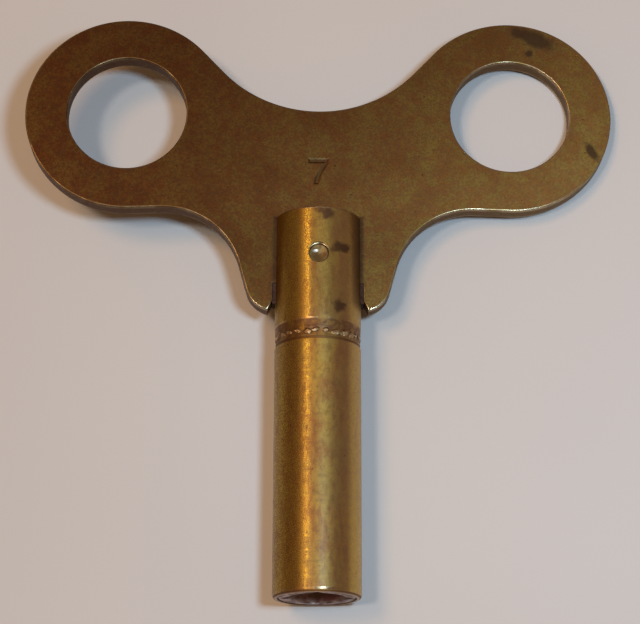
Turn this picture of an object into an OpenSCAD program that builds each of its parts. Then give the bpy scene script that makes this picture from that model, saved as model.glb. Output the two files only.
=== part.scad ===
// Clock winding key with two finger rings.
// A blanked brass bow sits in a slot at the head of a brass tube and is held there by a cross
// rivet. A steel bush with a square socket fills the other end of the tube, and a rolled and
// knurled groove locks it in.
//
// Frame: the origin is the centre of the socket's mouth. The barrel lies along +Y, the bow's
// plate lies in the XY plane, and +Z is its front face.

/* [Socket] */
// Width across the flats of the square arbor that the key winds
arbor_size = 4; // [3:0.25:4.25]
// Play between the arbor and the socket, over the whole width
socket_play = 0.05; // [0.02:0.01:0.15]
// Drill that opens the socket before its corners are cut
pilot_d = 4.45; // [4.35:0.05:4.9]
// Depth of the square part of the socket
socket_depth = 14; // [8:1:15]
// How much deeper the drill goes than the square
pilot_overrun = 1.5; // [0.5:0.25:2]
// Bevel round the socket's mouth
socket_bevel = 0.12; // [0.05:0.01:0.2]

/* [Barrel] */
// Outside diameter of the barrel
barrel_d = 7.1; // [7:0.1:9]
// Wall of the barrel's tube
barrel_wall = 0.4; // [0.3:0.05:0.5]
// Length of the barrel
barrel_length = 31.8; // [30:0.2:40]
// Rounding of the barrel's outer edge at the mouth
mouth_round = 0.3; // [0.1:0.05:0.35]
// Bevel of the barrel's outer edge at the head
head_bevel = 0.12; // [0.05:0.01:0.25]
// Depth of the slot that takes the bow
slot_depth = 5.75; // [4:0.25:7]
// Play between the bow and each side of the slot
slot_play = 0.02; // [0.01:0.01:0.05]

/* [Bush] */
// Play between the bush and the tube, on the radius
bush_play = 0.02; // [0.01:0.01:0.05]
// How far the bush lies behind the barrel's mouth
bush_inset = 0.06; // [0:0.02:0.2]
// Bevel of the bush's outer edges
bush_bevel = 0.1; // [0.05:0.01:0.2]
// How far the bush runs on past the rolled groove
bush_tail = 3.3; // [2:0.1:4.5]

/* [Rolled groove] */
// Distance from the slot's floor down to the rolled groove
groove_drop = 5.4; // [5:0.1:7]
// Radius of the rolled groove and of the bead that it raises inside
groove_r = 0.3; // [0.2:0.01:0.35]
// Depth of the rolled groove
groove_depth = 0.14; // [0.08:0.01:0.2]
// Number of knurled notches round the barrel
knurl_count = 27; // [18:1:32]
// Radius of one knurled notch
knurl_r = 0.28; // [0.2:0.01:0.32]
// Depth of one knurled notch
knurl_depth = 0.13; // [0.06:0.01:0.18]
// Length of the knurled notches along the barrel
knurl_length = 0.66; // [0.4:0.02:0.9]
// Smooth land between the knurled notches and the witness line
land_length = 0.7; // [0.4:0.05:1]
// Radius of the witness line that the roller leaves
witness_r = 0.09; // [0.06:0.01:0.12]
// Depth of the witness line
witness_depth = 0.035; // [0.02:0.005:0.05]

/* [Bow] */
// Thickness of the bow's plate
bow_thickness = 1.6; // [1.2:0.1:2.4]
// Outside diameter of each finger ring
ring_d = 17.2; // [15:0.2:19]
// Diameter of each finger hole
hole_d = 10.1; // [8:0.1:12]
// Distance between the centres of the finger holes
ring_spread = 32.5; // [29:0.5:36]
// Height of the finger holes above the slot's floor
ring_rise = 15.15; // [13.5:0.25:18]
// Radius of the dip between the rings
dip_r = 11; // [9:0.25:13]
// Straight stretch between a ring and the dip
dip_straight = 2.75; // [0.5:0.25:5]
// Radius of the hollow curve between a ring and its leg
waist_r = 6.6; // [5.5:0.1:8]
// Straight stretch between a ring and the hollow curve
waist_straight = 2.8; // [0.5:0.1:4]
// Straight stretch between the hollow curve and the leg's end
leg_straight = 2.55; // [0.5:0.05:4]

/* [Legs] */
// Width of each leg beside the barrel
leg_width = 2.25; // [1.8:0.05:3]
// How far the legs reach below the slot's floor
leg_drop = 2.4; // [1.6:0.1:3]
// Radius of each leg's outer end
leg_end_r = 2.4; // [1.6:0.1:2.8]
// Play between the barrel and each leg
leg_play = 0.2; // [0.05:0.05:0.4]
// Width of the bevel inside each leg's end
lead_in_width = 0.45; // [0.2:0.05:0.8]
// Height of the bevel inside each leg's end
lead_in_height = 0.9; // [0.4:0.05:1.4]

/* [Rivet] */
// Diameter of the cross rivet
rivet_d = 1.55; // [1.2:0.05:1.8]
// Play round the rivet, on the radius
rivet_play = 0.06; // [0.03:0.01:0.1]
// Height of the rivet above the slot's floor
rivet_rise = 1.7; // [1.5:0.1:2.4]
// Height of the rivet's domed ends
rivet_dome = 0.2; // [0.1:0.01:0.3]
// How far the domed ends lie below the barrel's outside
rivet_sink = 0.06; // [0:0.01:0.15]

/* [Size number] */
// Height of the stamped figure
figure_height = 2.1; // [1.5:0.1:2.5]
// Width of the stamped figure
figure_width = 1.5; // [1:0.1:1.8]
// Width of its strokes
figure_stroke = 0.28; // [0.2:0.01:0.35]
// Depth of its strokes
figure_depth = 0.12; // [0.05:0.01:0.2]
// Height of its foot above the barrel's head
figure_rise = 3.15; // [2:0.05:4]

/* [Hidden] */
$fn = 96;
// Overlap of cutting shapes past the faces that they cut
cut = 1;
drill_point_angle = 118;

barrel_r = barrel_d / 2;
bore_r = barrel_r - barrel_wall;
mouth_r = min(mouth_round, 0.9 * barrel_wall);
slot_floor = barrel_length - slot_depth;
slot_width = bow_thickness + 2 * slot_play;

groove_y = slot_floor - groove_drop;
// The groove's half width where it meets the barrel's outside
groove_half = sqrt(pow(groove_r, 2) - pow(groove_r - groove_depth, 2));
knurl_y = groove_y + groove_half;
witness_y = knurl_y + knurl_length + land_length;

bush_r = bore_r - bush_play;
bush_end = groove_y + bush_tail;
socket_width = arbor_size + socket_play;
pilot_depth = socket_depth + pilot_overrun;
pilot_point = pilot_d / 2 / tan(drill_point_angle / 2);

ring_r = ring_d / 2;
ring_x = ring_spread / 2;
ring_y = slot_floor + ring_rise;
ring = [ring_x, ring_y];

// The dip's circle lies on the middle line, a straight stretch away from both rings
dip_reach = norm([ring_r + dip_r, dip_straight]);
dip = [0, ring_y + sqrt(pow(dip_reach, 2) - pow(ring_x, 2))];

notch_half = barrel_r + leg_play;
leg_end = [notch_half + leg_width - leg_end_r, slot_floor - leg_drop + leg_end_r];
waist = meeting_point(leg_end, norm([leg_end_r + waist_r, leg_straight]),
                      ring, norm([ring_r + waist_r, waist_straight]));

rivet_y = slot_floor + rivet_rise;
rivet_hole_r = rivet_d / 2 + rivet_play;
rivet_half = barrel_r - rivet_sink;
rivet_dome_r = (pow(rivet_d / 2, 2) + pow(rivet_dome, 2)) / (2 * rivet_dome);

function unit(v) = v / norm(v);
function left_of(v) = [-v[1], v[0]];

// The point that lies at distance ra from a and at distance rb from b, to the right of the way
// from a to b
function meeting_point(a, ra, b, rb) =
    let (span = norm(b - a),
         along = (ra * ra - rb * rb + span * span) / (2 * span),
         aside = sqrt(ra * ra - along * along))
    a + along * unit(b - a) - aside * left_of(unit(b - a));

// Where the straight line that crosses between circles a and b touches each of them. A side of
// 1 takes the touch on the left of the way from a to b, and -1 the one on its right
function crossing_touch(a, ra, b, rb, side) =
    let (way = unit(b - a),
         turn = side * acos((ra + rb) / norm(b - a)),
         out = way * cos(turn) + left_of(way) * sin(turn))
    [a + ra * out, b - rb * out];

module along_y() {
    rotate([-90, 0, 0]) children();
}

module mirrored_x() {
    children();
    mirror([1, 0, 0]) children();
}

// A plate of the bow's thickness, on the middle plane
module plate() {
    translate([0, 0, -bow_thickness / 2]) linear_extrude(bow_thickness) children();
}

// A round cut right through the bow's plate
module through_cut(centre, radius) {
    translate([centre[0], centre[1], -bow_thickness / 2 - cut])
        cylinder(h = bow_thickness + 2 * cut, r = radius);
}

// Right half of the bow, without its holes
module bow_half() {
    dip_touch = crossing_touch(dip, dip_r, ring, ring_r, -1);
    waist_touch = crossing_touch(ring, ring_r, waist, waist_r, 1);
    leg_touch = crossing_touch(waist, waist_r, leg_end, leg_end_r, -1);
    difference() {
        union() {
            plate() polygon([[0, dip[1] - dip_r], dip_touch[0], dip_touch[1], ring,
                             waist_touch[0], waist_touch[1], leg_touch[0], leg_touch[1], leg_end,
                             [leg_end[0], slot_floor - leg_drop], [0, slot_floor - leg_drop]]);
            plate() translate(ring) circle(ring_r);
            plate() translate(leg_end) circle(leg_end_r);
        }
        through_cut(dip, dip_r);
        through_cut(waist, waist_r);
    }
}

// The gap between the legs, with a bevel inside each leg's end
module leg_gap() {
    foot = slot_floor - leg_drop;
    spread = notch_half + lead_in_width;
    translate([0, 0, -bow_thickness / 2 - cut]) linear_extrude(bow_thickness + 2 * cut)
        polygon([[-notch_half, slot_floor], [-notch_half, foot + lead_in_height], [-spread, foot],
                 [-spread, foot - cut], [spread, foot - cut], [spread, foot],
                 [notch_half, foot + lead_in_height], [notch_half, slot_floor]]);
}

// A plain seven: a bar across the top and a leg that slants down to the left
module figure_seven() {
    top = figure_height;
    right = figure_width / 2;
    foot = -figure_width / 4;
    translate([0, barrel_length + figure_rise, bow_thickness / 2 - figure_depth])
        linear_extrude(figure_depth + cut)
            polygon([[-right, top], [right, top], [right, top - figure_stroke],
                     [foot + figure_stroke, 0], [foot, 0],
                     [right - figure_stroke, top - figure_stroke], [-right, top - figure_stroke]]);
}

module bow() {
    color([0.46, 0.34, 0.18])
    difference() {
        mirrored_x() bow_half();
        mirrored_x() through_cut(ring, hole_d / 2);
        leg_gap();
        through_cut([0, rivet_y], rivet_hole_r);
        figure_seven();
    }
}

// Half section of the barrel's wall, radius across and length upwards
module barrel_section() {
    difference() {
        union() {
            translate([bore_r, 0]) square([barrel_wall, barrel_length]);
            translate([bore_r + groove_r - groove_depth, groove_y]) circle(groove_r);
        }
        translate([barrel_r - mouth_r, 0]) difference() {
            translate([0, -cut]) square([mouth_r + cut, mouth_r + cut]);
            translate([0, mouth_r]) circle(mouth_r);
        }
        translate([barrel_r + groove_r - groove_depth, groove_y]) circle(groove_r);
        translate([barrel_r + witness_r - witness_depth, witness_y]) circle(witness_r);
        polygon([[barrel_r - head_bevel, barrel_length],
                 [barrel_r + cut, barrel_length - head_bevel - cut],
                 [barrel_r + cut, barrel_length + cut],
                 [barrel_r - head_bevel - cut, barrel_length + cut]]);
    }
}

module knurl_notches() {
    for (step = [0 : knurl_count - 1])
        rotate([0, 0, step * 360 / knurl_count])
            translate([barrel_r + knurl_r - knurl_depth, 0, knurl_y])
                cylinder(h = knurl_length, r = knurl_r);
}

module barrel() {
    color([0.66, 0.49, 0.22])
    difference() {
        along_y() difference() {
            rotate_extrude() barrel_section();
            knurl_notches();
        }
        translate([-barrel_r - cut, slot_floor, -slot_width / 2])
            cube([barrel_d + 2 * cut, slot_depth + cut, slot_width]);
        translate([0, rivet_y, -barrel_r - cut])
            cylinder(h = barrel_d + 2 * cut, r = rivet_hole_r);
    }
}

// Half section of the bush before its socket is made
module bush_section() {
    difference() {
        translate([0, bush_inset]) square([bush_r, bush_end - bush_inset]);
        translate([bush_r, bush_inset]) rotate(45) square(bush_bevel * sqrt(2), center = true);
        translate([bush_r, bush_end]) rotate(45) square(bush_bevel * sqrt(2), center = true);
        translate([bore_r + groove_r - groove_depth, groove_y]) circle(groove_r + bush_play);
    }
}

module socket() {
    translate([0, 0, bush_inset - cut]) cylinder(h = pilot_depth + cut, d = pilot_d);
    translate([0, 0, bush_inset + pilot_depth]) cylinder(h = pilot_point, d1 = pilot_d, d2 = 0);
    translate([0, 0, bush_inset])
        cylinder(h = socket_bevel, d1 = pilot_d + 2 * socket_bevel, d2 = pilot_d);
    rotate([0, 0, 45])
        translate([-socket_width / 2, -socket_width / 2, bush_inset - cut])
            cube([socket_width, socket_width, socket_depth + cut]);
}

module socket_bush() {
    color([0.56, 0.55, 0.53])
    along_y() difference() {
        rotate_extrude() bush_section();
        socket();
    }
}

// Half section of the rivet's upper half
module rivet_section() {
    square([rivet_d / 2, rivet_half - rivet_dome]);
    intersection() {
        translate([0, rivet_half - rivet_dome_r]) circle(rivet_dome_r);
        translate([0, rivet_half - rivet_dome]) square([rivet_d / 2, rivet_dome]);
    }
}

module rivet() {
    color([0.62, 0.50, 0.30])
    translate([0, rivet_y, 0]) rotate_extrude() {
        rivet_section();
        mirror([0, 1]) rivet_section();
    }
}

bow();
barrel();
socket_bush();
rivet();
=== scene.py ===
# Clock winding key with two finger rings, dressed for a studio view of its front
import math
import random

import bmesh
import bpy
from mathutils import Euler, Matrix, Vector
from mathutils.geometry import tessellate_polygon


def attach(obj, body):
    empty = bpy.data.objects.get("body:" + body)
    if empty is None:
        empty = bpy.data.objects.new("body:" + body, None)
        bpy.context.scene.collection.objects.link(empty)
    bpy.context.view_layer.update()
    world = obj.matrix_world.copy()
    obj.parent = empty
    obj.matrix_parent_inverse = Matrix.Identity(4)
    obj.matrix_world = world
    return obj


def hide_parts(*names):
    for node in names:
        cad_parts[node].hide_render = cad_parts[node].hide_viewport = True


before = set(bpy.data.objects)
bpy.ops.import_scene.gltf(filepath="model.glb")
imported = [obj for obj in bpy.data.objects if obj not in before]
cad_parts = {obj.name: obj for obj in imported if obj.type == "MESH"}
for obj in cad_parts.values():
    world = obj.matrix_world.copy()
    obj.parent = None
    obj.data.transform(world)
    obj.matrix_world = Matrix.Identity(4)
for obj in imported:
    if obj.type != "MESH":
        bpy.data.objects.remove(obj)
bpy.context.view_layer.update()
mm = 0.001  # every size below is in millimetres, the scene is in metres
print("frame loaded:", sorted(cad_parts))


# Meshes

def addObject(name, data):
    made = bpy.data.objects.new(name, data)
    bpy.context.scene.collection.objects.link(made)
    return made


def meshPiece(name, points, faces, edges=()):
    mesh = bpy.data.meshes.new(name)
    mesh.from_pydata([Vector(p) * mm for p in points], edges, faces)
    return addObject(name, mesh)


def smoothByAngle(piece, degrees):
    mesh = piece.data
    mesh.shade_smooth()
    mesh.set_sharp_from_angle(angle=math.radians(degrees))


def floatAttribute(piece, name, values):
    layer = piece.data.attributes.new(name, "FLOAT", "POINT")
    layer.data.foreach_set("value", values)


def arc(centre, radius, start, end, step):
    # points from one angle to the other, in degrees, both ends included
    count = max(2, round(abs(end - start) / step))
    return [(centre[0] + radius * math.cos(math.radians(start + (end - start) * i / count)),
             centre[1] + radius * math.sin(math.radians(start + (end - start) * i / count)))
            for i in range(count + 1)]


def circle(radius, count):
    # points round the origin, counterclockwise
    turns = [2 * math.pi * i / count for i in range(count)]
    return [(radius * math.cos(turn), radius * math.sin(turn)) for turn in turns]


def angleOf(centre, point):
    return math.degrees(math.atan2(point[1] - centre[1], point[0] - centre[0]))


# Node helpers

def setSockets(tree, node, values):
    # each value is a constant, or a socket to link from
    for name, value in values.items():
        if isinstance(value, bpy.types.NodeSocket):
            tree.links.new(value, node.inputs[name])
        else:
            node.inputs[name].default_value = value


def addNode(tree, kind, sockets=None, output=0, **settings):
    # gives back one output of the new node
    node = tree.nodes.new(kind)
    for name, value in settings.items():
        setattr(node, name, value)
    setSockets(tree, node, sockets or {})
    return node.outputs[output]


def mathNode(tree, operation, *values):
    return addNode(tree, "ShaderNodeMath", dict(enumerate(values)), operation=operation)


def times(tree, value, *factors):
    for factor in factors:
        value = mathNode(tree, "MULTIPLY", value, factor)
    return value


def plusTimes(tree, start, value, factor):
    # the start plus the value times the factor
    return mathNode(tree, "MULTIPLY_ADD", value, factor, start)


def largest(tree, value, *others):
    for other in others:
        value = mathNode(tree, "MAXIMUM", value, other)
    return value


def offset(tree, value, place):
    # how far a length is past a place in millimetres
    return mathNode(tree, "SUBTRACT", value, place * mm)


def hypotenuse(tree, first, second):
    return mathNode(tree, "SQRT", plusTimes(tree, times(tree, second, second), first, first))


def remap(tree, value, low, high, newLow=0.0, newHigh=1.0, soft=True):
    return addNode(tree, "ShaderNodeMapRange", {
        "Value": value, "From Min": low, "From Max": high, "To Min": newLow, "To Max": newHigh},
        interpolation_type="SMOOTHSTEP" if soft else "LINEAR")


def remapLength(tree, value, low, high, *amounts, soft=True):
    # the two ends are in millimetres
    return remap(tree, value, low * mm, high * mm, *amounts, soft=soft)


def mixColour(tree, factor, first, second):
    values = {0: factor}
    for index, colour in ((6, first), (7, second)):
        linked = isinstance(colour, bpy.types.NodeSocket)
        values[index] = colour if linked else (*colour, 1.0)
    return addNode(tree, "ShaderNodeMix", values, output=2, data_type="RGBA")


def noise(tree, place, size, detail, roughness=0.55, shift=(0, 0, 0), stretch=(1, 1, 1)):
    # size is the width of one blotch in millimetres
    scaled = addNode(tree, "ShaderNodeMapping", {
        "Vector": place, "Scale": tuple(s / (size * mm) for s in stretch), "Location": shift})
    return addNode(tree, "ShaderNodeTexNoise", {
        "Vector": scaled, "Scale": 1.0, "Detail": detail, "Roughness": roughness})


def addFields(tree, field, look):
    # the values over the surface that the look's tables describe, each under its name
    for name, values in look["noises"].items():
        # size, detail, roughness, shift and stretch
        field[name] = noise(tree, field["place"], *values)
    for name, weights in look.get("blends", {}).items():
        # the weights of the noises that are added up
        field[name] = 0.0
        for source, weight in weights.items():
            field[name] = plusTimes(tree, field[name], field[source], weight)
    for name, (source, *ends) in look["steps"].items():
        # the field that is read, its two ends and the amounts there
        field[name] = remap(tree, field[source], *ends)
    for name, (axis, *ends) in look.get("bands", {}).items():
        # an axis, two places on it in millimetres and the amounts there
        field[name] = remapLength(tree, field[axis], *ends)
    for name, (axis, place, *ends) in look.get("lines", {}).items():
        # an axis, a place on it, two distances from that place and the amounts there
        far = mathNode(tree, "ABSOLUTE", offset(tree, field[axis], place))
        field[name] = remapLength(tree, far, *ends)
    for name, factors in look.get("products", {}).items():
        field[name] = times(tree, *[field[factor] for factor in factors])


def paint(tree, field, colours, base, *coats):
    # each coat lies over what is there: the field it follows, its colour, how well it covers
    made = colours[base]
    for name, colour, *cover in coats:
        made = mixColour(tree, times(tree, field[name], *cover), made, colours[colour])
    return made


def bumps(tree, field, depths):
    # each bump lies over the ones before it, its depth in millimetres
    sockets = {"Strength": 1.0}
    for name, depth in depths.items():
        sockets.update({"Height": field[name], "Distance": depth * mm})
        sockets["Normal"] = addNode(tree, "ShaderNodeBump", sockets)
    return sockets["Normal"]


def newMaterial(name, look, finish=None, *sizes):
    # finish adds the fields and colours that the look's tables can't make by themselves
    made = bpy.data.materials.new(name)
    made.use_nodes = True
    tree = made.node_tree
    tree.nodes.clear()
    shader = tree.nodes.new("ShaderNodeBsdfPrincipled")
    out = tree.nodes.new("ShaderNodeOutputMaterial")
    tree.links.new(shader.outputs[0], out.inputs["Surface"])
    place = addNode(tree, "ShaderNodeTexCoord", output="Object")
    axes = addNode(tree, "ShaderNodeSeparateXYZ", {0: place}).node.outputs
    field = {"place": place, "X": axes["X"], "Y": axes["Y"], "Z": axes["Z"]}
    addFields(tree, field, look)
    colours = dict(look["colours"])
    if finish:
        finish(tree, field, colours, look, *sizes)
    setSockets(tree, shader, {
        "Base Color": paint(tree, field, colours, *look["coats"]),
        "Normal": bumps(tree, field, look["depths"]), **look["shader"]})
    setSockets(tree, shader, {
        name: field[name] for name in ("Metallic", "Roughness", "Tangent") if name in field})
    return made


stainEdge = {"detail": 4.0, "middle": 0.5, "fade": (1.3, 0.5), "front": (0.5, 0.51)}


def stainMask(tree, field, stains, wanderSize=0.9, reach=1.0):
    # the largest of several soft slanting ellipses on the front, whose outlines wander;
    # each has its place, half length, half width and slant
    wander = noise(tree, field["place"], wanderSize, stainEdge["detail"])
    wander = mathNode(tree, "SUBTRACT", wander, stainEdge["middle"])
    found = []
    for x, y, length, width, slant in stains:
        cosine, sine = math.cos(math.radians(slant)), math.sin(math.radians(slant))
        right, up = offset(tree, field["X"], x), offset(tree, field["Y"], y)
        along = plusTimes(tree, times(tree, right, cosine / (length * mm)),
                          up, sine / (length * mm))
        across = plusTimes(tree, times(tree, right, -sine / (width * mm)),
                           up, cosine / (width * mm))
        far = plusTimes(tree, hypotenuse(tree, along, across), wander, reach)
        found.append(remap(tree, far, *stainEdge["fade"]))
    return times(tree, largest(tree, *found),
                 remapLength(tree, field["Z"], *stainEdge["front"]))


# Bow

# what the bow and the barrel share
joint = {"slotFloor": 26.05, "rivetY": 27.75, "rivetHole": 0.835}

bow = {
    **joint, "thickness": 1.6,
    "ringRadius": 8.6, "holeRadius": 5.05, "ringX": 16.25, "ringY": 41.2,
    "dipRadius": 11.0, "dipStraight": 2.75, "waistRadius": 6.6, "waistStraight": 2.8,
    "legStraight": 2.55, "legEndRadius": 2.4, "legEndX": 3.6, "foot": 23.65,
    "notchHalf": 3.75, "leadWidth": 0.45, "leadHeight": 0.9,
    "arcStep": 2.5, "legStep": 7.5, "closest": 0.01, "holeSteps": 144, "rivetSteps": 36,
    "sharpest": 0.35,  # least cosine of a mitre, so that no corner runs far out
    # the edges: rolled corners, flat wear bands beside them, and wear at both of these
    "frontRoll": 0.09, "frontDrop": 0.08, "frontWear": (0.45, 1.0),
    "backRoll": 0.07, "backDrop": 0.06, "backWear": (0.4, 0.8),
    "rollSteps": 5, "wearEdge": 0.05, "wearBand": 0.2,
    "side": ((0.15, 0.35), (-0.35, 0.2)),  # height and wear of the loops on the sawn side
    # nothing rubs the edges inside the notch, where dirt gathers, most on the worn corners
    "notchReach": 4.1, "notchTop": 26.45, "notchWear": 0.1, "notchGrime": (0.2, 0.4),
    "cornerWear": 0.4,
    # the stamped figure, with dirt on its lip and floor, and its bar's upper wall darkest
    "figureY": 34.8, "figureHeight": 2.4, "figureWidth": 1.75, "figureStroke": 0.50,
    "figureBend": 0.16, "figureSteps": (0.2, 0.4, 0.6, 0.8),
    "lipInset": 0.04, "lipDepth": 0.016, "lipGrime": 0.25,
    "floorInset": 0.16, "floorDepth": 0.07, "floorGrime": 0.4, "barDarkening": 0.65, "barWear": 0.65,
}


def meetingPoint(a, ra, b, rb):
    # at distance ra from a and rb from b, to the right of the way from a to b
    way = (b - a).normalized()
    span = (b - a).length
    along = (ra * ra - rb * rb + span * span) / (2 * span)
    aside = math.sqrt(ra * ra - along * along)
    return a + way * along + Vector((way.y, -way.x)) * aside


def crossingTouch(a, ra, b, rb, side):
    # where the straight line that crosses between two circles touches them
    way = (b - a).normalized()
    turn = side * math.acos((ra + rb) / (b - a).length)
    out = way * math.cos(turn) + Vector((-way.y, way.x)) * math.sin(turn)
    return a + out * ra, b - out * rb


def legTip(size, legEnd):
    # where the bevel inside the leg meets the leg's round end
    top = Vector((size["notchHalf"], size["foot"] + size["leadHeight"]))
    way = Vector((size["leadWidth"], -size["leadHeight"]))
    rel = top - legEnd
    a, b, c = way.dot(way), 2 * rel.dot(way), rel.dot(rel) - size["legEndRadius"] ** 2
    return top + way * ((-b + math.sqrt(b * b - 4 * a * c)) / (2 * a))


def bowOutline(size):
    # counterclockwise, from the bottom of the dip round the left half and back up the right one
    dipRadius, ringRadius = size["dipRadius"], size["ringRadius"]
    waistRadius, endRadius = size["waistRadius"], size["legEndRadius"]
    ring = Vector((size["ringX"], size["ringY"]))
    reach = math.hypot(ringRadius + dipRadius, size["dipStraight"])
    dip = Vector((0, ring.y + math.sqrt(reach ** 2 - ring.x ** 2)))
    legEnd = Vector((size["legEndX"], size["slotFloor"]))
    waist = meetingPoint(legEnd, math.hypot(endRadius + waistRadius, size["legStraight"]),
                         ring, math.hypot(ringRadius + waistRadius, size["waistStraight"]))
    dipTouch = crossingTouch(dip, dipRadius, ring, ringRadius, -1)
    waistTouch = crossingTouch(ring, ringRadius, waist, waistRadius, 1)
    legTouch = crossingTouch(waist, waistRadius, legEnd, endRadius, -1)
    step = size["arcStep"]
    right = arc(dip, dipRadius, -90, angleOf(dip, dipTouch[0]), step)
    right += arc(ring, ringRadius, angleOf(ring, dipTouch[1]), angleOf(ring, waistTouch[0]), step)
    first, last = angleOf(waist, waistTouch[1]), angleOf(waist, legTouch[0])
    right += arc(waist, waistRadius, first, last if last > first else last + 360, step)
    right += arc(legEnd, endRadius, angleOf(legEnd, legTouch[1]),
                 angleOf(legEnd, legTip(size, legEnd)), size["legStep"])
    right += [(size["notchHalf"], size["foot"] + size["leadHeight"]),
              (size["notchHalf"], size["slotFloor"])]
    outline = right[::-1] + [(-x, y) for x, y in right[1:]]
    kept = [outline[0]]
    for point in outline[1:]:
        if math.dist(point, kept[-1]) > size["closest"]:
            kept.append(point)
    return kept


def insetLoop(loop, distance, sharpest):
    # the loop drawn in towards its left side, with mitred corners
    made = []
    for i, point in enumerate(loop):
        here = Vector(point)
        before = (here - Vector(loop[i - 1])).normalized()
        after = (Vector(loop[(i + 1) % len(loop)]) - here).normalized()
        normal = Vector((-before.y - after.y, before.x + after.x)).normalized()
        cosine = max(sharpest, normal.dot(Vector((-after.y, after.x))))
        made.append(tuple(here + normal * (distance / cosine)))
    return made


def holeLoop(x, y, radius, count):
    # clockwise, so that its left side is the plate
    return [(x + right, y - up) for right, up in circle(radius, count)]


def figureLoop(size):
    # a plain seven, clockwise as the holes are, its leg bowed to the left
    top = size["figureY"] + size["figureHeight"]
    right, stroke, foot = size["figureWidth"] / 2, size["figureStroke"], -size["figureWidth"] / 4
    height = size["figureHeight"] - stroke
    leg = [(t, math.sin(math.pi * t) * size["figureBend"]) for t in size["figureSteps"]]
    outer = [(right + (foot + stroke - right) * t - s, top - stroke - height * t)
             for t, s in leg]
    inner = [(right - stroke + (foot - right + stroke) * t - s, top - stroke - height * t)
             for t, s in reversed(leg)]
    return ([(-right, top), (right, top), (right, top - stroke)] + outer
            + [(foot + stroke, size["figureY"]), (foot, size["figureY"])] + inner
            + [(right - stroke, top - stroke), (-right, top - stroke)])


def edgeSections(size):
    # inset, height and wear of each loop from the front face to the back one
    half, steps = size["thickness"] / 2, size["rollSteps"]
    turns = [math.pi / 2 * i / steps for i in range(steps + 1)]

    def rolledCorner(roll, drop, edgeWear, cornerWear, side):
        flat = [(roll + size["wearBand"], side * half, 0.0),
                (roll + size["wearEdge"], side * half, edgeWear)]
        return flat + [(roll * (1 - math.sin(turn)), side * (half - drop * (1 - math.cos(turn))),
                        cornerWear) for turn in turns]

    front = rolledCorner(size["frontRoll"], size["frontDrop"], *size["frontWear"], 1)
    back = rolledCorner(size["backRoll"], size["backDrop"], *size["backWear"], -1)
    return front + [(0.0, height, worn) for height, worn in size["side"]] + back[::-1]


def makeBow(size):
    rims = [bowOutline(size)]
    rims += [holeLoop(side * size["ringX"], size["ringY"], size["holeRadius"], size["holeSteps"])
             for side in (-1, 1)]
    rims.append(holeLoop(0, size["rivetY"], size["rivetHole"], size["rivetSteps"]))
    points, faces, wear, grime = [], [], [], []
    frontLoops, backLoops = [], []

    def addLoop(loop, inset, height, worn, dirt=0.0):
        first = len(points)
        light, heavy = size["notchGrime"]
        for x, y in insetLoop(loop, inset, size["sharpest"]):
            inside = abs(x) < size["notchReach"] and y < size["notchTop"]
            points.append((x, y, height))
            wear.append(size["notchWear"] * worn if inside else worn)
            packed = heavy if worn > size["cornerWear"] else light
            grime.append(packed if inside and worn > 0 else dirt)
        return list(range(first, first + len(loop)))

    def bridge(upper, lower):
        for i in range(len(upper)):
            j = (i + 1) % len(upper)
            faces.append((upper[i], lower[i], lower[j], upper[j]))

    def fill(loops, upwards):
        flat = [i for loop in loops for i in loop]
        for triangle in tessellate_polygon([[Vector(points[i]) for i in loop] for loop in loops]):
            corner = [flat[i] for i in triangle]
            a, b, c = (Vector(points[i]) for i in corner)
            facing = (b - a).cross(c - a).z > 0
            faces.append(tuple(corner if facing == upwards else corner[::-1]))

    for rim in rims:
        loops = [addLoop(rim, *section) for section in edgeSections(size)]
        for upper, lower in zip(loops, loops[1:]):
            bridge(upper, lower)
        frontLoops.append(loops[0])
        backLoops.append(loops[-1])

    # the stamped figure is a sloped recess in the front face, rubbed along its bar's lower edge
    half = size["thickness"] / 2
    figure = figureLoop(size)
    rim = addLoop(figure, 0.0, half, 0.0)
    lip = addLoop(figure, -size["lipInset"], half - size["lipDepth"], 0.0, size["lipGrime"])
    floor = addLoop(figure, -size["floorInset"], half - size["floorDepth"], 0.0,
                    size["floorGrime"])
    wear[lip[-1]] = wear[lip[-2]] = size["barWear"]
    for i in (lip[0], lip[1], floor[0], floor[1]):
        grime[i] = size["barDarkening"]
    bridge(rim, lip)
    bridge(lip, floor)
    frontLoops.append(rim)
    fill([floor], True)
    fill(frontLoops, True)
    fill(backLoops, False)
    piece = meshPiece("bowPlate", points, faces)
    floatAttribute(piece, "wear", wear)
    floatAttribute(piece, "grime", grime)
    smoothByAngle(piece, 20)
    return piece


bowPlate = makeBow(bow)
print("bow made:", len(bowPlate.data.polygons), "faces")


# Barrel

barrel = {
    **joint, "radius": 3.55, "bore": 3.15, "length": 31.8, "segments": 256,
    "mouthRound": 0.28, "mouthStep": 15, "headRound": 0.12, "headStep": 22.5,
    "boreMouth": 0.02, "boreEdge": 0.04,
    "grooveY": 20.6, "grooveFloor": 3.4, "grooveHalf": 0.14, "beadInside": 3.01, "beadHalf": 0.45,
    "lipHeight": 0.015, "lipWidth": 0.42, "lipSteps": 8, "lipHaste": 1.1,
    # radius and height of the corners of the band that the teeth stand on
    "band": ((3.48, 20.84), (3.43, 20.91), (3.43, 21.48), (3.46, 21.56), (3.505, 21.63),
             (3.515, 21.70)),
    "bandRadius": 3.515, "witnessY": 22.22, "witnessHalf": 0.07,
    "wallRings": (24.5, 26.2, 26.7, 27.75, 28.8, 30.2),
    "slotWidth": 1.64, "holeSteps": 64, "over": 1.0,  # how far a cutter runs past what it cuts
    "rivetFlare": 0.08, "flareFrom": 3.42, "flareTo": 3.6, "flareShift": 0.07, "weld": 0.0001,
}


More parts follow.
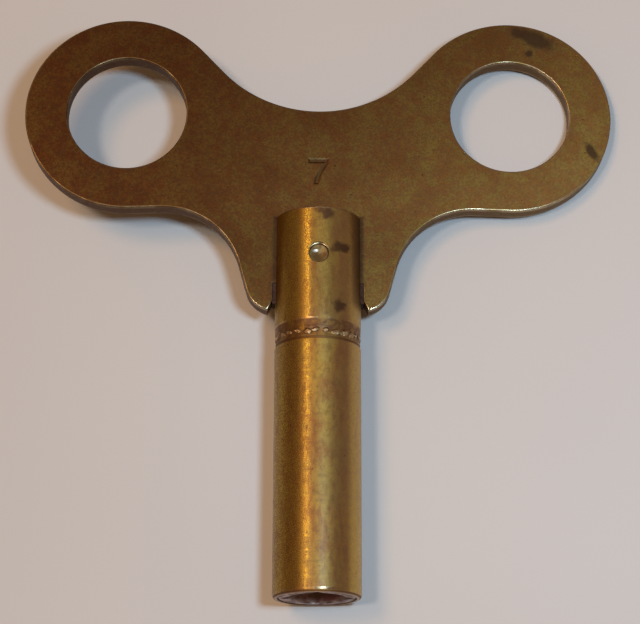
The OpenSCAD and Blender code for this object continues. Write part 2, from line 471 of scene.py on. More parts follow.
def roundDip(level, bottom, middle, half):
    # the points between the two ends of a round dip in a wall
    turns = [math.pi * i / 6 for i in range(1, 6)]
    return [(level - (level - bottom) * math.sin(turn), middle - half * math.cos(turn))
            for turn in turns]


def barrelProfile(size):
    # radius and length, round the wall's section: out at the mouth, up, and back down the bore
    radius, bore, length = size["radius"], size["bore"], size["length"]
    groove, half, bead = size["grooveY"], size["grooveHalf"], size["beadHalf"]
    corner = size["mouthRound"]
    points = [(bore + size["boreMouth"], 0.0)]
    points += arc((radius - corner, corner), corner, -90, 0, size["mouthStep"])
    for i in range(size["lipSteps"] + 1):
        t = i / size["lipSteps"]
        rise = math.sin(math.pi * min(1, t * size["lipHaste"])) ** 2
        points.append((radius + size["lipHeight"] * rise,
                       groove - half - size["lipWidth"] * (1 - t)))
    points += roundDip(radius, size["grooveFloor"], groove, half)
    points += [*size["band"], (size["bandRadius"], size["witnessY"] - size["witnessHalf"]),
               (radius, size["witnessY"] + size["witnessHalf"])]
    points += [(radius, y) for y in size["wallRings"]]
    corner = size["headRound"]
    points += arc((radius - corner, length - corner), corner, 0, 90, size["headStep"])
    points += [(bore + size["boreEdge"], length), (bore, length - size["boreEdge"]),
               (bore, groove + bead)]
    points += roundDip(bore, size["beadInside"], groove, -bead)
    return points + [(bore, groove - bead), (bore, size["boreMouth"])]


def shapeByTree(piece, name, build, values):
    # a tree with one named input for each value shapes the piece, and its result is the mesh
    kinds = {float: "Float", int: "Int", Vector: "Vector", bpy.types.Material: "Material"}
    tree = bpy.data.node_groups.new(name, "GeometryNodeTree")
    inputs = {}

    def addSocket(label, way, kind):
        return tree.interface.new_socket(
            name=label, in_out=way, socket_type="NodeSocket" + kind).identifier

    addSocket("Geometry", "INPUT", "Geometry")
    for label, value in values.items():
        inputs[addSocket(label, "INPUT", kinds[type(value)])] = value
    addSocket("Geometry", "OUTPUT", "Geometry")
    start = tree.nodes.new("NodeGroupInput").outputs
    realized = addNode(tree, "GeometryNodeRealizeInstances", {0: build(tree, start)})
    painted = addNode(tree, "GeometryNodeSetMaterial", {
        "Geometry": realized, "Material": start["Material"]})
    setSockets(tree, tree.nodes.new("NodeGroupOutput"), {0: painted})
    modifier = piece.modifiers.new(name, "NODES")
    modifier.node_group = tree
    for identifier, value in inputs.items():
        modifier[identifier] = value
    graph = bpy.context.evaluated_depsgraph_get()
    made = bpy.data.meshes.new_from_object(piece.evaluated_get(graph))
    piece.modifiers.clear()
    piece.data = made
    made.name = piece.name


def moved(tree, geometry, shift=(0, 0, 0), turn=(0, 0, 0)):
    return addNode(tree, "GeometryNodeTransform", {
        "Geometry": geometry, "Translation": shift, "Rotation": turn})


def turnedTube(tree, start):
    # a closed section turned round the Y axis, with a slot across its head and a cross hole
    section = addNode(tree, "GeometryNodeMeshToCurve", {"Mesh": start["Geometry"]})
    rail = addNode(tree, "GeometryNodeCurvePrimitiveCircle", {
        "Resolution": start["Segments"], "Radius": start["Rail Radius"]})
    turned = addNode(tree, "GeometryNodeCurveToMesh", {"Curve": rail, "Profile Curve": section})
    body = addNode(tree, "GeometryNodeMergeByDistance", {
        "Geometry": moved(tree, turned, turn=(math.pi / 2, 0, 0)), "Distance": start["Weld"]})
    slot = moved(tree, addNode(tree, "GeometryNodeMeshCube", {"Size": start["Slot Size"]}),
                 start["Slot Centre"])
    tool = moved(tree, addNode(tree, "GeometryNodeMeshCylinder", {
        "Vertices": start["Hole Steps"], "Radius": start["Hole Radius"],
        "Depth": start["Hole Length"]}), start["Hole Centre"])
    flare = moved(tree, addNode(tree, "GeometryNodeMeshCone", {
        "Vertices": start["Hole Steps"], "Radius Top": start["Flare Radius"],
        "Radius Bottom": start["Hole Radius"], "Depth": start["Flare Depth"]}),
        start["Flare Rise"])
    for other in (flare, moved(tree, flare, turn=(0, math.pi, 0))):
        joined = addNode(tree, "GeometryNodeMeshBoolean", {"Mesh 2": other},
                         operation="UNION", solver="EXACT")
        tree.links.new(tool, joined.node.inputs["Mesh 2"])
        tool = joined
    for cutter in (slot, tool):
        body = addNode(tree, "GeometryNodeMeshBoolean", {"Mesh 1": body, "Mesh 2": cutter},
                       operation="DIFFERENCE", solver="EXACT")
    return body


def makeBarrel(size, material):
    profile = [(r - size["radius"], y, 0) for r, y in barrelProfile(size)]
    count, over = len(profile), size["over"]
    piece = meshPiece("barrelTube", profile, [], [(i, (i + 1) % count) for i in range(count)])
    slotLength = size["length"] - size["slotFloor"] + over
    shapeByTree(piece, "turnedTube", turnedTube, {
        "Rail Radius": size["radius"] * mm, "Segments": size["segments"],
        "Weld": size["weld"] * mm,
        "Slot Size": Vector((2 * size["radius"] + 2 * over, slotLength, size["slotWidth"])) * mm,
        "Slot Centre": Vector((0, size["slotFloor"] + slotLength / 2, 0)) * mm,
        "Hole Radius": size["rivetHole"] * mm,
        "Hole Centre": Vector((0, size["rivetY"], 0)) * mm,
        "Hole Length": 2 * (size["radius"] + over) * mm, "Hole Steps": size["holeSteps"],
        "Flare Radius": (size["rivetHole"] + size["rivetFlare"]) * mm,
        "Flare Depth": (size["flareTo"] - size["flareFrom"]) * mm,
        "Flare Rise": Vector((0, size["rivetY"] + size["flareShift"], size["flareFrom"])) * mm,
        "Material": material})
    smoothByAngle(piece, 32)
    return piece


# Knurled teeth

knurl = {
    "count": 27, "radius": 3.385, "y": 21.2, "levels": 2, "seed": 7,
    # height, width and length of a tooth, and how these vary
    "tooth": (0.28, 0.90, 0.58), "smallest": (0.85, 0.62, 0.62), "largest": (1.1, 1.38, 1.38),
    "stray": (0, 0, 0.12), "turn": (0.6, 0.2, 0.3),
}


def knurlRing(tree, start):
    # rounded teeth in a ring round the Y axis, each a little different
    def between(low, high):
        return addNode(tree, "FunctionNodeRandomValue", {
            "Min": start[low], "Max": start[high], "Seed": start["Seed"]},
            data_type="FLOAT_VECTOR")

    ring = addNode(tree, "GeometryNodeMeshCircle", {
        "Vertices": start["Count"], "Radius": start["Radius"]})
    strewn = addNode(tree, "GeometryNodeSetPosition", {
        "Geometry": ring, "Offset": between("Stray Back", "Stray")})
    block = addNode(tree, "GeometryNodeMeshCube", {"Size": start["Tooth Size"]})
    tooth = addNode(tree, "GeometryNodeSubdivisionSurface", {
        "Mesh": block, "Level": start["Levels"]})
    outwards = addNode(tree, "FunctionNodeAlignRotationToVector", {
        "Vector": addNode(tree, "GeometryNodeInputPosition")}, axis="X")
    placed = addNode(tree, "GeometryNodeInstanceOnPoints", {
        "Points": strewn, "Instance": tooth, "Rotation": outwards,
        "Scale": between("Smallest", "Largest")})
    tilted = addNode(tree, "GeometryNodeRotateInstances", {
        "Instances": placed, "Rotation": between("Turn Back", "Turn")})
    return moved(tree, tilted, start["Place"], (math.pi / 2, 0, 0))


def makeKnurl(size, material):
    piece = meshPiece("knurlTeeth", [(0, 0, 0)], [])
    stray, turn = Vector(size["stray"]) * mm, Vector(size["turn"])
    shapeByTree(piece, "knurlRing", knurlRing, {
        "Count": size["count"], "Radius": size["radius"] * mm,
        "Place": Vector((0, size["y"], 0)) * mm, "Tooth Size": Vector(size["tooth"]) * mm,
        "Smallest": Vector(size["smallest"]), "Largest": Vector(size["largest"]),
        "Stray": stray, "Stray Back": -stray, "Turn": turn, "Turn Back": -turn,
        "Seed": size["seed"], "Levels": size["levels"], "Material": material})
    piece.data.shade_smooth()
    return piece


# Dirt in the seams between the barrel and the bow's notch

seam = {
    "from": 24.30, "to": 26.13, "rows": 24, "inner": 3.44, "outer": 3.78, "height": 0.775,
    "across": (0.0, 0.35, 0.7, 1.0), "sag": 0.06, "rough": 0.05, "seed": 5,
}


def makeSeamDirt(size):
    # a rough strip on each side, the same before and behind, lowest in its middle
    points, faces = [], []
    uneven = random.Random(size["seed"])
    rows, count = size["rows"], 2 * len(size["across"])
    for side in (-1, 1):
        first = len(points)
        for i in range(rows + 1):
            y = size["from"] + (size["to"] - size["from"]) * i / rows
            ring = []
            for t in size["across"]:
                x = side * (size["inner"] + (size["outer"] - size["inner"]) * t)
                low = size["sag"] * math.sin(math.pi * t) + uneven.uniform(0, size["rough"])
                ring.append((x, y, size["height"] - low))
            points += ring + [(x, y, -z) for x, y, z in reversed(ring)]
        for i in range(rows):
            for k in range(count):
                a, b = first + i * count + k, first + i * count + (k + 1) % count
                faces.append((a, b, b + count, a + count)[::side])
        low = tuple(range(first, first + count))
        high = tuple(range(first + rows * count, first + (rows + 1) * count))
        faces += [low[::-side], high[::side]]
    piece = meshPiece("seamDirt", points, faces)
    smoothByAngle(piece, 50)
    return piece


# Rivet

rivet = {
    "radius": 0.82, "y": 27.735, "tip": 3.49, "dish": 0.13, "dishRadius": 0.75, "edgeDrop": 0.03,
    "leanX": -0.05, "leanY": 0.08, "segments": 48, "dishRings": 3, "edgeRings": 5,
}


def makeRivet(size):
    # one round pin along Z, each end a shallow dish with a rounded rim that leans a little
    tip, dish, inner = size["tip"], size["dish"], size["dishRadius"]
    rings = [(0.0, tip - dish)]
    for i in range(1, size["dishRings"] + 1):
        t = i / size["dishRings"]
        rings.append((inner * t, tip - dish * (1 - t * t)))
    for i in range(1, size["edgeRings"] + 1):
        turn = i / size["edgeRings"] * math.pi / 2
        rings.append((inner + (size["radius"] - inner) * math.sin(turn),
                      tip - size["edgeDrop"] * (1 - math.cos(turn))))
    rings += [(r, -z) for r, z in reversed(rings)]
    points, faces = [], []
    count = size["segments"]
    for radius, height in rings:
        for x, y in circle(radius, count) if radius else [(0, 0)]:
            points.append((x, size["y"] + y, height + size["leanX"] * x + size["leanY"] * y))
    last = len(points) - 1
    for i in range(count):
        j = (i + 1) % count
        faces.append((0, 1 + i, 1 + j))
        faces.append((last, last - count + j, last - count + i))
        for k in range(len(rings) - 3):
            upper, lower = 1 + k * count, 1 + (k + 1) * count
            faces.append((upper + i, lower + i, lower + j, upper + j))
    piece = meshPiece("crossRivet", points, faces)
    smoothByAngle(piece, 40)
    return piece


# Bush

def makeBush():
    # the CAD solid with its loose triangles joined, so that its round walls shade smoothly
    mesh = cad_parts["socket_bush"].data.copy()
    mesh.name = "socketBush"
    piece = addObject("socketBush", mesh)
    joined = bmesh.new()
    joined.from_mesh(mesh)
    bmesh.ops.remove_doubles(joined, verts=joined.verts, dist=1e-6)
    joined.to_mesh(mesh)
    joined.free()
    mesh.materials.clear()
    smoothByAngle(piece, 25)
    return piece


# Materials

bowLook = {
    "colours": {"dirt": (0.035, 0.018, 0.012), "stain": (0.06, 0.032, 0.017), "black": (0, 0, 0)},
    # the colours at the left end and at the right end of the fade, a painted gradient of light
    "faded": {"olive": ((0.13, 0.07, 0.02), (0.4, 0.285, 0.072)),
              "russet": ((0.122, 0.042, 0.014), (0.4, 0.18, 0.05)),
              "deep": ((0.055, 0.024, 0.011), (0.19, 0.11, 0.042)),
              "side": ((0.11, 0.05, 0.022), (0.17, 0.1, 0.042)),
              "worn": ((0.235, 0.165, 0.085), (0.66, 0.54, 0.34))},
    "fade": (-20.0, 24.0), "fadeSlant": -0.6, "fadeY": 41.2,
    "noises": {"blotch": (2.6, 5.0, 0.6), "patch": (0.9, 4.0, 0.6, (1, 6, 4)),
               "mottle": (0.34, 5.0, 0.68, (3, 1, 0)), "grain": (0.15, 3.0, 0.6, (7, 2, 0)),
               "speck": (0.22, 2.0, 0.5, (5, 5, 2)), "swell": (9.0, 2.0, 0.55, (1, 4, 2))},
    "blends": {"tint": {"blotch": 0.32, "patch": 0.38, "mottle": 0.3},
               "cloud": {"blotch": 0.2, "mottle": 0.8}},
    "steps": {"reddened": ("tint", 0.42, 0.58), "clouded": ("cloud", 0.36, 0.67, 0.05, 0.78),
              "grained": ("grain", 0.42, 0.62, 0.0, 0.55), "specks": ("speck", 0.31, 0.24),
              "wearBlotch": ("blotch", 0.4, 0.6, 0.15, 0.95),
              "wearMottle": ("mottle", 0.3, 0.6, 0.4, 1.0),
              "wearGrain": ("grain", 0.35, 0.6, 0.55, 1.0)},
    # the legs darken towards the barrel, a painted shade
    "bands": {"legs": ("Y", 33.0, 29.0, 0.0, 0.2), "tips": ("Y", 25.1, 24.3, 0.0, 0.95)},
    "lines": {"sawn": ("Z", 0.0, 0.76, 0.7)},
    "products": {"patchy": ("wearBlotch", "wearMottle", "wearGrain")},
    "coats": ("olive", ("reddened", "russet"), ("clouded", "deep"), ("grained", "deep"),
              ("specks", "dirt", 0.7), ("legs", "black"), ("stained", "stain", 0.9),
              ("sawn", "side", 0.85), ("rubbed", "worn"), ("dirty", "dirt")),
    "stains": ((18.4, 48.5, 2.4, 0.85, -25.0), (18.05, 47.1, 0.42, 0.38, 0.0),
               (23.1, 38.05, 0.95, 0.42, -56.0)),
    "wear": (0.4, 1.0), "grimeMost": 0.85,
    # dirt and painted shadow round the barrel: half width, top, what the grain adds, and its reach
    "footX": 3.66, "footY": 31.83, "footGrain": 0.25, "foot": (0.44, 0.06, 0.0, 0.72),
    "rough": (0.3, 0.7, 0.36, 0.54), "wornRough": -0.16, "wornFade": -0.14, "dullRough": 0.15,
    "depths": {"swell": 0.1, "grain": 0.004, "specks": -0.008}, "shader": {"Metallic": 1.0},
}


def finishBow(tree, field, colours, look):
    # the colours lighten from the upper left to the lower right, a painted gradient of light
    slant = plusTimes(tree, field["X"], offset(tree, field["Y"], look["fadeY"]),
                      look["fadeSlant"])
    fade = remapLength(tree, slant, *look["fade"], soft=False)
    fade = times(tree, fade, fade)
    for name, ends in look["faded"].items():
        colours[name] = mixColour(tree, fade, *ends)
    field["stained"] = stainMask(tree, field, look["stains"])
    # rubbed edges, broken up by the noises, and rubbed leg tips
    wear = addNode(tree, "ShaderNodeAttribute", output="Fac", attribute_name="wear")
    field["rubbed"] = times(tree, remap(tree, wear, *look["wear"]),
                            largest(tree, field["patchy"], field["tips"]))
    # dirt in the stamped figure, and round the barrel dirt with the barrel's painted shadow
    grime = addNode(tree, "ShaderNodeAttribute", output="Fac", attribute_name="grime")
    away = largest(tree, offset(tree, mathNode(tree, "ABSOLUTE", field["X"]), look["footX"]),
                   offset(tree, field["Y"], look["footY"]))
    away = plusTimes(tree, away, field["grain"], look["footGrain"] * mm)
    field["dirty"] = largest(tree, times(tree, grime, look["grimeMost"]),
                             remapLength(tree, away, *look["foot"]))
    # rubbed brass is glossier, more so at the right; sawn sides, stains, dirt and painted shadow
    # are dull
    rough = remap(tree, field["mottle"], *look["rough"], soft=False)
    rough = plusTimes(tree, rough, field["rubbed"],
                      plusTimes(tree, look["wornRough"], fade, look["wornFade"]))
    dull = largest(tree, field["sawn"], field["stained"], field["dirty"])
    field["Roughness"] = plusTimes(tree, rough, dull, look["dullRough"])


barrelLook = {
    "colours": {"gold": (0.58, 0.32, 0.05), "olive": (0.48, 0.285, 0.07),
                "russet": (0.44, 0.18, 0.04), "deep": (0.2, 0.08, 0.028),
                "bright": (0.62, 0.44, 0.045), "worn": (0.5, 0.34, 0.18),
                # pale is a painted reflection of the floor on the right side, mouth one on the end
                # face
                "pale": (0.61, 0.41, 0.25), "mouth": (0.44, 0.34, 0.3),
                "stain": (0.125, 0.05, 0.024)},
    "noises": {"blotch": (3.2, 5.0, 0.6, (0, 0, 0), (1, 0.45, 1)),
               "mottle": (0.5, 5.0, 0.65, (2, 5, 1)),
               "rust": (1.7, 4.0, 0.6, (9, 0, 3), (1, 0.5, 1)),
               "streak": (0.5, 4.0, 0.6, (4, 4, 0), (1, 0.35, 1)),
               "speck": (0.3, 2.0, 0.5, (5, 5, 2)),
               "turned": (0.04, 1.0, 0.5, (0, 0, 0), (0.6, 1.0, 0.6)),
               "marks": (0.16, 2.0, 0.5, (0, 3, 8), (0.2, 1.0, 0.2)),
               "swell": (5.0, 2.0, 0.55, (0, 0, 0), (1, 0.5, 1))},
    "blends": {"warm": {"rust": 0.55, "streak": 0.45}},
    "steps": {"greened": ("blotch", 0.35, 0.65), "reddened": ("warm", 0.43, 0.62),
              "mottled": ("mottle", 0.42, 0.74, 0.0, 0.5), "specks": ("speck", 0.29, 0.23),
              "speckled": ("mottle", 0.34, 0.62, 0.25, 0.85),
              "marked": ("marks", 0.4, 0.62, 0.75, 1.0),
              "streaked": ("streak", 0.66, 0.4, 0.7, 1.0),
              "endPatches": ("mottle", 0.4, 0.54, 0.6, 1.0),
              "witnessPatches": ("mottle", 0.48, 0.6, 0.0, 0.7),
              "mouthPatches": ("mottle", 0.42, 0.56, 0.3, 0.9)},
    # paled paints the right side paler, a painted reflection of the pale floor
    "bands": {"paled": ("X", 0.5, 2.9, 0.0, 0.55), "head": ("Y", 21.9, 22.7, 0.0, 0.42),
              "streakSide": ("X", -0.95, -0.45), "paleSide": ("X", 1.7, 0.9),
              "rightSide": ("X", 2.45, 2.95), "bowSide": ("Y", 23.2, 24.2),
              # the head's corner is darkened, a painted shade
              "headLine": ("Y", 31.64, 31.76, 0.0, 0.7),
              "leftPolish": ("X", -1.05, -0.35, 1.0, 0.28),
              "rightPolish": ("X", 2.1, 2.7, 0.0, 0.9), "headPolish": ("Y", 22.5, 24.0, 0.0, 0.02),
              "lowPolish": ("Y", 11.0, 4.0, 0.0, 0.03), "lowPolishSide": ("X", -2.0, -1.0, -0.3),
              "mouthUpper": ("Y", 0.42, 0.32), "mouthLower": ("Y", 0.12, 0.18),
              "headCorner": ("Y", 31.62, 31.7), "front": ("Z", 0.0, 1.0, 0.5),
              "mouthEnd": ("Y", 0.03, 0.01)},
    "lines": {"groove": ("Y", 20.6, 0.2, 0.06, 0.0, 0.8), "knurled": ("Y", 21.45, 0.82, 0.62),
              # the mouth's corner is darkened, a painted dark reflection
              "mouthLine": ("Y", 0.08, 0.08, 0.04), "witness": ("Y", 22.22, 0.09, 0.05),
              "mouthSpot": ("X", 0.55, 1.2, 0.55, 0.2), "headSpot": ("X", -0.8, 0.9, 0.35, 0.2)},
    # the head is darker between the streak and the painted pale reflection on the right side
    "products": {"headShade": ("head", "streakSide", "paleSide"),
                 # beside the bow the side is darkened, a painted reflection of the dark bow
                 "beside": ("rightSide", "bowSide"), "knurlDirt": ("knurled", "speckled"),
                 "handled": ("marked", "streaked", "leftPolish"),
                 "mouthRubbed": ("mouthUpper", "mouthLower", "mouthSpot"),
                 "headRubbed": ("headCorner", "headSpot"),
                 "witnessRubbed": ("witness", "witnessPatches"),
                 # the end face is painted the pinkish grey of the floor it reflects
                 "mouthFace": ("mouthEnd", "mouthPatches"), "rolled": ("knurled", "mottle")},
    # the left side's shade, the right side's pale tone, the dark beside the bow and the end face's
    # pinkish grey are painted shade and reflections
    "coats": ("gold", ("greened", "olive"), ("reddened", "russet"), ("mottled", "deep"),
              ("leftShade", "deep"), ("paled", "pale"), ("headShade", "deep"),
              ("beside", "deep", 0.55), ("stained", "stain", 0.8), ("polished", "bright"),
              ("dirty", "deep", 0.8), ("rubbed", "worn"), ("mouthFace", "mouth")),
    # the left side's darkening is a painted shade for the dark room it reflects
    "shadeRust": 1.2, "leftShade": (-0.45, -1.2, 0.0, 0.58),
    "stains": ((0.5, 31.3, 0.8, 0.55, -40.0), (1.73, 23.32, 0.45, 0.6, 0.0),
               (1.72, 28.35, 0.8, 0.5, 10.0)),
    "stainWander": (0.7, 2.3), "specksMost": 0.7, "besideDull": -0.7, "polish": (0.5, 0.58),
    "lipWidth": 0.1, "lipSoft": 0.03, "lipTop": (0.3, 0.75), "lipMost": 0.8,
    "film": (0.3, 0.7, 0.76, 0.83), "dirtRough": 0.1, "polishRough": 0.33, "wornRough": 0.24,
    "depths": {"swell": 0.04, "rolled": 0.05, "lipRound": -0.03, "specks": -0.004},
    # the marks run round the barrel, so they draw the highlights out along it
    "shader": {"Metallic": 1.0, "Anisotropic": 0.8, "Anisotropic Rotation": 0.25,
               "Coat Weight": 0.26, "Coat Roughness": 0.36},
}


def finishBarrel(tree, field, colours, look, size):
    # the left side is darker, a painted shade for the dark room it reflects, up to an edge the
    # rust breaks up
    edge = plusTimes(tree, field["X"], field["rust"], look["shadeRust"] * mm)
    field["leftShade"] = remapLength(tree, edge, *look["leftShade"])
    stain = stainMask(tree, field, look["stains"], *look["stainWander"])
    field["stained"] = largest(tree, stain, times(tree, field["specks"], look["specksMost"]))
    # dirt lies in the rolled groove, between the teeth and on the band above them
    # the thin dark lines at both ends are painted: a dark reflection at the mouth, shade at the
    # head
    field["dirty"] = largest(tree, field["groove"], field["knurlDirt"], field["mouthLine"],
                             field["headLine"])
    # handling has polished fine marks into the film, more in some patches
    handled = times(tree, largest(tree, field["handled"], field["rightPolish"]),
                    plusTimes(tree, 1.0, field["beside"], look["besideDull"]))
    marks = plusTimes(tree, mathNode(tree, "ADD", field["turned"], field["headPolish"]),
                      field["lowPolish"], field["lowPolishSide"])
    clean = mathNode(tree, "SUBTRACT", 1.0, largest(tree, field["dirty"], field["stained"]))
    field["polished"] = times(tree, handled, remap(tree, marks, *look["polish"]), clean)
    # the corners of the mouth and the head are rubbed bright in one spot each, and so are
    # the upper lip of the rivet's hole and, in patches, the witness line
    ends = times(tree, largest(tree, field["mouthRubbed"], field["headRubbed"]),
                 field["front"], field["endPatches"])
    up = offset(tree, field["Y"], size["rivetY"])
    away = hypotenuse(tree, up, field["X"])
    lipEdge = size["rivetHole"] + look["lipWidth"]
    lip = times(tree, remapLength(tree, away, lipEdge + look["lipSoft"], lipEdge),
                remapLength(tree, up, *look["lipTop"]))
    field["lipRound"] = times(tree, lip, remapLength(
        tree, away, lipEdge, size["rivetHole"], soft=False))
    field["rubbed"] = largest(tree, ends, times(tree, lip, look["lipMost"]),
                              field["witnessRubbed"])
    film = remap(tree, field["mottle"], *look["film"], soft=False)
    rough = plusTimes(tree, film, field["dirty"], look["dirtRough"])
    for name, smooth in (("polished", look["polishRough"]), ("rubbed", look["wornRough"])):
        rough = addNode(tree, "ShaderNodeMix", {0: field[name], 2: rough, 3: smooth})
    field["Roughness"] = rough
    field["Tangent"] = addNode(tree, "ShaderNodeTangent", direction_type="RADIAL", axis="Y")


toothLook = {
    "colours": {"crest": (0.54, 0.38, 0.2), "flank": (0.25, 0.13, 0.052)},
    "noises": {"speckle": (0.2, 4.0, 0.65)},
    "steps": {"patches": ("speckle", 0.3, 0.6, 0.35, 1.0),
              "Roughness": ("speckle", 0.3, 0.7, 0.25, 0.4)},
    "rise": (3.46, 3.535), "coats": ("flank", ("high", "crest")),
    "depths": {"speckle": 0.08}, "shader": {"Metallic": 1.0},
}


def finishTooth(tree, field, colours, look):
    # the crests are rubbed and the flanks hold dirt, by their distance from the barrel's axis
    rise = remapLength(tree, hypotenuse(tree, field["X"], field["Z"]), *look["rise"])
    field["high"] = times(tree, rise, field["patches"])


rivetLook = {
    "colours": {"face": (0.175, 0.105, 0.036), "dull": (0.12, 0.06, 0.024),
                "dirt": (0.03, 0.015, 0.01), "bare": (0.42, 0.34, 0.25)},
    "noises": {"blotch": (0.5, 4.0, 0.6), "dents": (0.4, 3.0)},
    "steps": {"dulled": ("blotch", 0.35, 0.65), "rough": ("blotch", 0.3, 0.7, 0.5, 0.6)},
    # the rim is darkest at its top, a painted shade of the gap beside the pin
    "spot": (-0.28, 0.21, 0.27, 0.13, 14.0), "rim": (0.66, 0.77), "rimTop": (-0.1, 0.5, 0.1),
    "coats": ("face", ("dulled", "dull"), ("spot", "bare"), ("rim", "dirt")),
    "spotRough": -0.28, "rimRough": (0.66, 0.76, 0.0, 0.2),
    "depths": {"dents": 0.015}, "shader": {"Metallic": 1.0},
}


def finishRivet(tree, field, colours, look, size):
    # a spot that is rubbed bare, and dirt round the rim, most at its top, where it is a painted
    # shade of the gap
    x, y, *shape = look["spot"]
    field["spot"] = stainMask(tree, field, [(x, size["y"] + y, *shape)])
    up = offset(tree, field["Y"], size["y"])
    away = hypotenuse(tree, field["X"], up)
    field["rim"] = times(tree, remapLength(tree, away, *look["rim"]),
                         remapLength(tree, up, *look["rimTop"]))
    rough = plusTimes(tree, field["rough"], field["spot"], look["spotRough"])
    field["Roughness"] = mathNode(tree, "ADD", remapLength(tree, away, *look["rimRough"]), rough)


bushLook = {
    "colours": {"steel": (0.43, 0.33, 0.3), "dull": (0.17, 0.1, 0.08),
                "dust": (0.26, 0.16, 0.125), "rust": (0.16, 0.055, 0.045)},
    "noises": {"blotch": (0.55, 5.0, 0.65), "scale": (1.4, 4.0, 0.6, (2, 0, 5)),
               "turned": (0.12, 3.0, 0.6)},
    "steps": {"dulled": ("blotch", 0.4, 0.6), "rusted": ("scale", 0.4, 0.58),
              "rough": ("blotch", 0.3, 0.7, 0.48, 0.6)},
    "bands": {"inside": ("Y", 0.1, 0.25)}, "insideRough": 0.3,
    "coats": ("steel", ("dulled", "dull"), ("inside", "walls")),
    "depths": {"turned": 0.006}, "shader": {},
}


def finishBush(tree, field, colours, look):
    # the socket's walls hold rust and dust
    colours["walls"] = mixColour(tree, field["rusted"], colours["dust"], colours["rust"])
    field["Metallic"] = mathNode(tree, "SUBTRACT", 1.0, field["inside"])
    field["Roughness"] = plusTimes(tree, field["rough"], field["inside"], look["insideRough"])


seamLook = {
    "colours": {"dark": (0.03, 0.013, 0.009), "pale": (0.07, 0.034, 0.021)},
    "noises": {"crumbs": (0.25, 4.0, 0.65)},
    "steps": {"paled": ("crumbs", 0.35, 0.65), "Roughness": ("crumbs", 0.3, 0.7, 0.7, 0.9)},
    "coats": ("dark", ("paled", "pale")), "depths": {"crumbs": 0.03},
    "shader": {"Specular IOR Level": 0.12},
}


barrelTube = makeBarrel(
    barrel, newMaterial("rubbedBarrelBrass", barrelLook, finishBarrel, barrel))
print("barrel made:", len(barrelTube.data.polygons), "faces")
knurlTeeth = makeKnurl(knurl, newMaterial("knurledToothBrass", toothLook, finishTooth))
print("knurl made:", knurl["count"], "teeth")
seamDirt = makeSeamDirt(seam)
seamDirt.data.materials.append(newMaterial("seamDirtCrust", seamLook))
print("seam dirt made:", len(seamDirt.data.polygons), "faces")
crossRivet = makeRivet(rivet)
crossRivet.data.materials.append(newMaterial("rivetBrass", rivetLook, finishRivet, rivet))
socketBush = makeBush()
socketBush.data.materials.append(newMaterial("bushSteel", bushLook, finishBush))
bowPlate.data.materials.append(newMaterial("tarnishedBowBrass", bowLook, finishBow))
print("rivet and bush made, materials set")

for piece, node, slot in ((bowPlate, "bow", "bow_brass"), (barrelTube, "barrel", "barrel_brass"),
                          (socketBush, "socket_bush", "bush_steel"),
                          (crossRivet, "rivet", "rivet_brass"), (knurlTeeth, None, "barrel_brass"),
                          (seamDirt, None, "bow_brass")):
    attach(piece, "root")
    if node:
        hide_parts(node)


# Floor, lights and camera

studio = {
    "floorTilt": 6.33, "floorSize": 3000.0, "bendFrom": 25.0, "bendTo": 36.0, "farTilt": -2.5,
    "bendSteps": 20,
    "worldColour": (0.21, 0.13, 0.07), "worldStrength": 1.0, "target": (0.0, 25.0, 0.0),
    # place, colour of the light that falls on the target, and width of each lamp
    "lamps": {"coolLamp": ((31.0, -2.0, 139.0), (0.355, 0.55, 0.755), 22.0),
              "windowLamp": ((-225.0, -40.0, 600.0), (0.20, 0.20, 0.19), 90.0),
              "warmLamp": ((-312.0, 125.0, 600.0), (0.28, 0.165, 0.075), 200.0)},
    "cameraPlace": (-2.694, -27.430, 155.816), "cameraTurn": (18.197, -1.106, 0.156),
    "lens": 111.80, "sensor": 36.0, "clip": (5.0, 10000.0),
}


paperLook = {
    "colours": {"paper": (0.59, 0.525, 0.475), "shaded": (0.5723, 0.50925, 0.46075)},
    "noises": {"cloud": (40.0, 2.0), "fibre": (0.6, 4.0)},
    "steps": {"clouded": ("cloud", 0.3, 0.7)}, "coats": ("paper", ("clouded", "shaded")),
    "depths": {"fibre": 0.01}, "shader": {"Roughness": 0.9, "Specular IOR Level": 0.2},
}


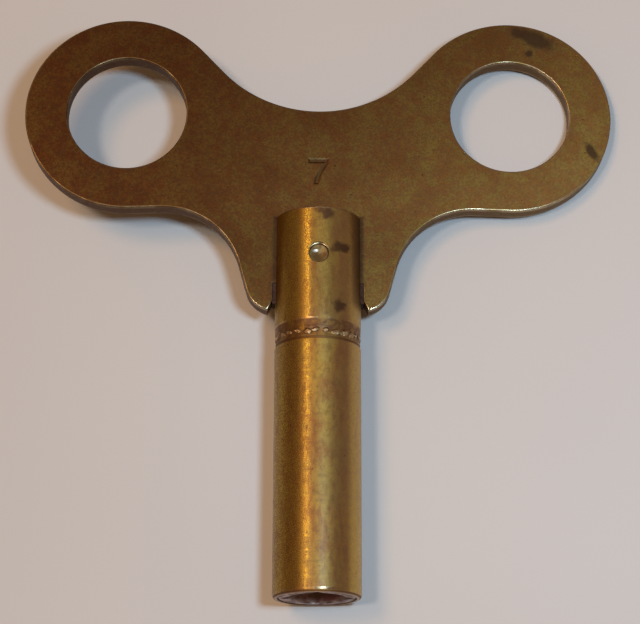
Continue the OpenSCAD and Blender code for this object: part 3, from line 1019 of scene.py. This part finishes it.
def makeFloor(look, barrelRadius):
    # it touches the barrel and the right ring's lower edge, so it leans a little,
    # and past the ring it bends away again, so that it hides less of the key from that side
    half, steps = look["floorSize"] / 2, look["bendSteps"]
    slope = math.tan(math.radians(look["floorTilt"]))
    farSlope = math.tan(math.radians(look["farTilt"]))
    low = -barrelRadius / math.cos(math.radians(look["floorTilt"]))
    step = (look["bendTo"] - look["bendFrom"]) / steps
    section = [(-half, low - half * slope), (look["bendFrom"], low + look["bendFrom"] * slope)]
    for i in range(steps):
        x, z = section[-1]
        section.append((x + step, z + step * (slope + (farSlope - slope) * (i + 0.5) / steps)))
    x, z = section[-1]
    section.append((half, z + (half - x) * farSlope))
    count = len(section)
    points = [(x, y, z) for y in (-half, half) for x, z in section]
    floor = meshPiece("paperFloor", points, [
        (i, i + 1, count + i + 1, count + i) for i in range(count - 1)])
    floor.data.materials.append(newMaterial("palePaper", paperLook))


def addLamp(name, target, place, colour, size):
    # bright enough that the target gets the given colour of light
    lamp = bpy.data.lights.new(name, "AREA")
    lamp.shape = "DISK"
    lamp.size = size * mm
    way = (Vector(place) - Vector(target)) * mm
    brightest = max(colour)
    lamp.color = [c / brightest for c in colour]
    lamp.energy = brightest * math.pi ** 2 * way.length_squared
    made = addObject(name, lamp)
    made.location = Vector(place) * mm
    made.rotation_euler = way.to_track_quat("Z", "Y").to_euler()


def makeStudio(look):
    makeFloor(look, barrel["radius"])
    for name, values in look["lamps"].items():
        addLamp(name, look["target"], *values)
    world = bpy.data.worlds.new("dimRoom")
    bpy.context.scene.world = world
    world.use_nodes = True
    setSockets(world.node_tree, world.node_tree.nodes["Background"], {
        "Color": (*look["worldColour"], 1.0), "Strength": look["worldStrength"]})
    camera = bpy.data.cameras.new("photoCamera")
    camera.lens = look["lens"]
    camera.sensor_width = look["sensor"]
    camera.clip_start, camera.clip_end = [far * mm for far in look["clip"]]
    made = addObject("photoCamera", camera)
    made.location = Vector(look["cameraPlace"]) * mm
    made.rotation_euler = Euler([math.radians(a) for a in look["cameraTurn"]])
    bpy.context.scene.camera = made
    bpy.context.scene.view_settings.view_transform = "Standard"


makeStudio(studio)
print("studio made")
